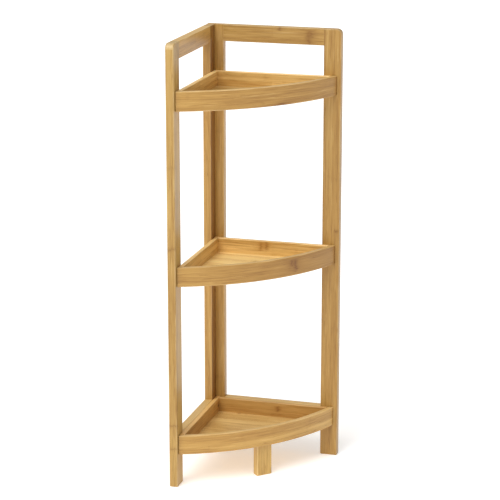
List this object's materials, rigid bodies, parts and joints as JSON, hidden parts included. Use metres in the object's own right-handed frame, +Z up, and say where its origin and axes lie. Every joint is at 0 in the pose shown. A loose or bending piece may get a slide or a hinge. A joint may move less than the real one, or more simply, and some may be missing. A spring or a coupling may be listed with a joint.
{
  "type": "corner shower caddy",
  "caption": "Free-standing bamboo corner rack: two side frames at a right angle, quarter-round trays with bow fronts and raised sides, and a short front leg.",
  "frame": {"origin": "on the floor, at the middle of the square that the two side frames stand in", "axes": "+Z up; +X along the right frame from the back corner; -Y along the left frame from the back corner, so that the open front faces +X and -Y"},
  "size_m": [0.25, 0.25, 0.8],
  "materials": {
    "bamboo_frame": "clear satin lacquer",
    "bamboo_board": "clear satin lacquer",
    "bamboo_panel": "clear satin lacquer",
    "dowel_wood": "bare",
    "screw_metal": "yellow zinc"
  },
  "bodies": {
    "root": {"left_rear_stile": "bamboo_frame", "left_front_stile": "bamboo_frame", "left_bottom_rail": "bamboo_frame", "left_top_rail": "bamboo_frame", "left_frame_dowels": "dowel_wood", "right_rear_stile": "bamboo_frame", "right_front_stile": "bamboo_frame", "right_bottom_rail": "bamboo_frame", "right_top_rail": "bamboo_frame", "right_frame_dowels": "dowel_wood", "top_tray_floor": "bamboo_panel", "top_tray_left_side": "bamboo_board", "top_tray_right_side": "bamboo_board", "top_tray_curved_rail": "bamboo_board", "top_tray_screws": "screw_metal", "middle_tray_floor": "bamboo_panel", "middle_tray_left_side": "bamboo_board", "middle_tray_right_side": "bamboo_board", "middle_tray_curved_rail": "bamboo_board", "middle_tray_screws": "screw_metal", "bottom_tray_floor": "bamboo_panel", "bottom_tray_left_side": "bamboo_board", "bottom_tray_right_side": "bamboo_board", "bottom_tray_curved_rail": "bamboo_board", "bottom_tray_screws": "screw_metal", "front_leg": "bamboo_frame", "corner_screws": "screw_metal", "leg_screws": "screw_metal", "rear_tray_screws": "screw_metal"}
  },
  "joints": []
}
